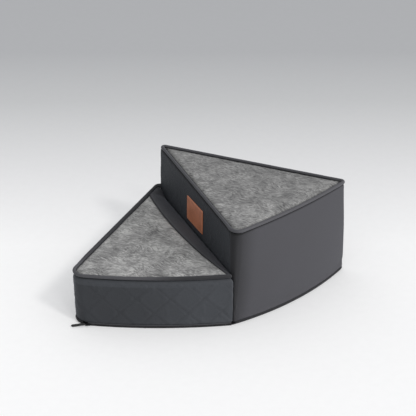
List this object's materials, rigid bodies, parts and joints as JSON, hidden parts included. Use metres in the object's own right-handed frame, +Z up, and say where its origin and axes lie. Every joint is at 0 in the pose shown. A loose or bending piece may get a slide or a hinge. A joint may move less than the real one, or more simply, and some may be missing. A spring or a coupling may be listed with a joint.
{
  "type": "corner pet step",
  "caption": "Quarter-circle foam step for pets: a low and a high wedge side by side in a zipped charcoal cover, with plush treads and a quilted front.",
  "frame": {"origin": "on the floor, under the middle of the bounding box, which takes in the zipper pull", "axes": "+Z up; -Y towards the bowed front of the low wedge; +X along the high wedge's straight side, from the inner corner outwards"},
  "size_m": [0.6078, 0.6224, 0.297],
  "materials": {
    "charcoal_cloth": "matte",
    "quilted_cloth": "matte",
    "piping_cloth": "satin",
    "plush": "matte",
    "lining": "matte",
    "foam": "matte",
    "memory_foam": "matte",
    "batting": "matte",
    "tan_leather": "satin",
    "zipper_tape": "matte",
    "zipper_nylon": "satin",
    "black_metal": "satin",
    "pull_rubber": "matte"
  },
  "bodies": {
    "cover": {"lower_side_panel": "charcoal_cloth", "upper_front_panel": "charcoal_cloth", "upper_side_panel": "charcoal_cloth", "lower_tread_border": "charcoal_cloth", "lower_front_panel": "quilted_cloth", "riser_panel": "quilted_cloth", "base_piping": "piping_cloth", "lower_tread_piping": "piping_cloth", "upper_tread_piping": "piping_cloth", "lower_tread_panel": "plush", "upper_tread_panel": "plush", "base_panel": "lining", "lower_tread_backing": "lining", "upper_tread_backing": "lining", "lower_foam_core": "foam", "upper_foam_core": "foam", "lower_foam_topper": "memory_foam", "upper_foam_topper": "memory_foam", "lower_front_batting": "batting", "riser_batting": "batting", "leather_label": "tan_leather", "zipper_lower_tape": "zipper_tape", "zipper_upper_tape": "zipper_tape", "zipper_lower_coil": "zipper_nylon", "zipper_upper_coil": "zipper_nylon", "zipper_top_stop": "black_metal", "zipper_bottom_stop": "black_metal"},
    "slider": {"slider_body": "black_metal", "slider_rear_plate": "black_metal", "slider_bridge": "black_metal"},
    "pull": {"pull_loop": "black_metal", "pull_grip": "pull_rubber"}
  },
  "joints": [
    {"name": "zip_travel", "type": "hinge", "parent": "cover", "child": "slider", "pos_m": [-0.60574, 1.03987, 0.00535], "axis": [0, 0, 1], "range_deg": [0, 16.5]},
    {"name": "pull_swing", "type": "hinge", "parent": "slider", "child": "pull", "pos_m": [-0.24652, -0.2889, 0.00535], "axis": [0, 0, 1], "range_deg": [-7, 163]}
  ]
}
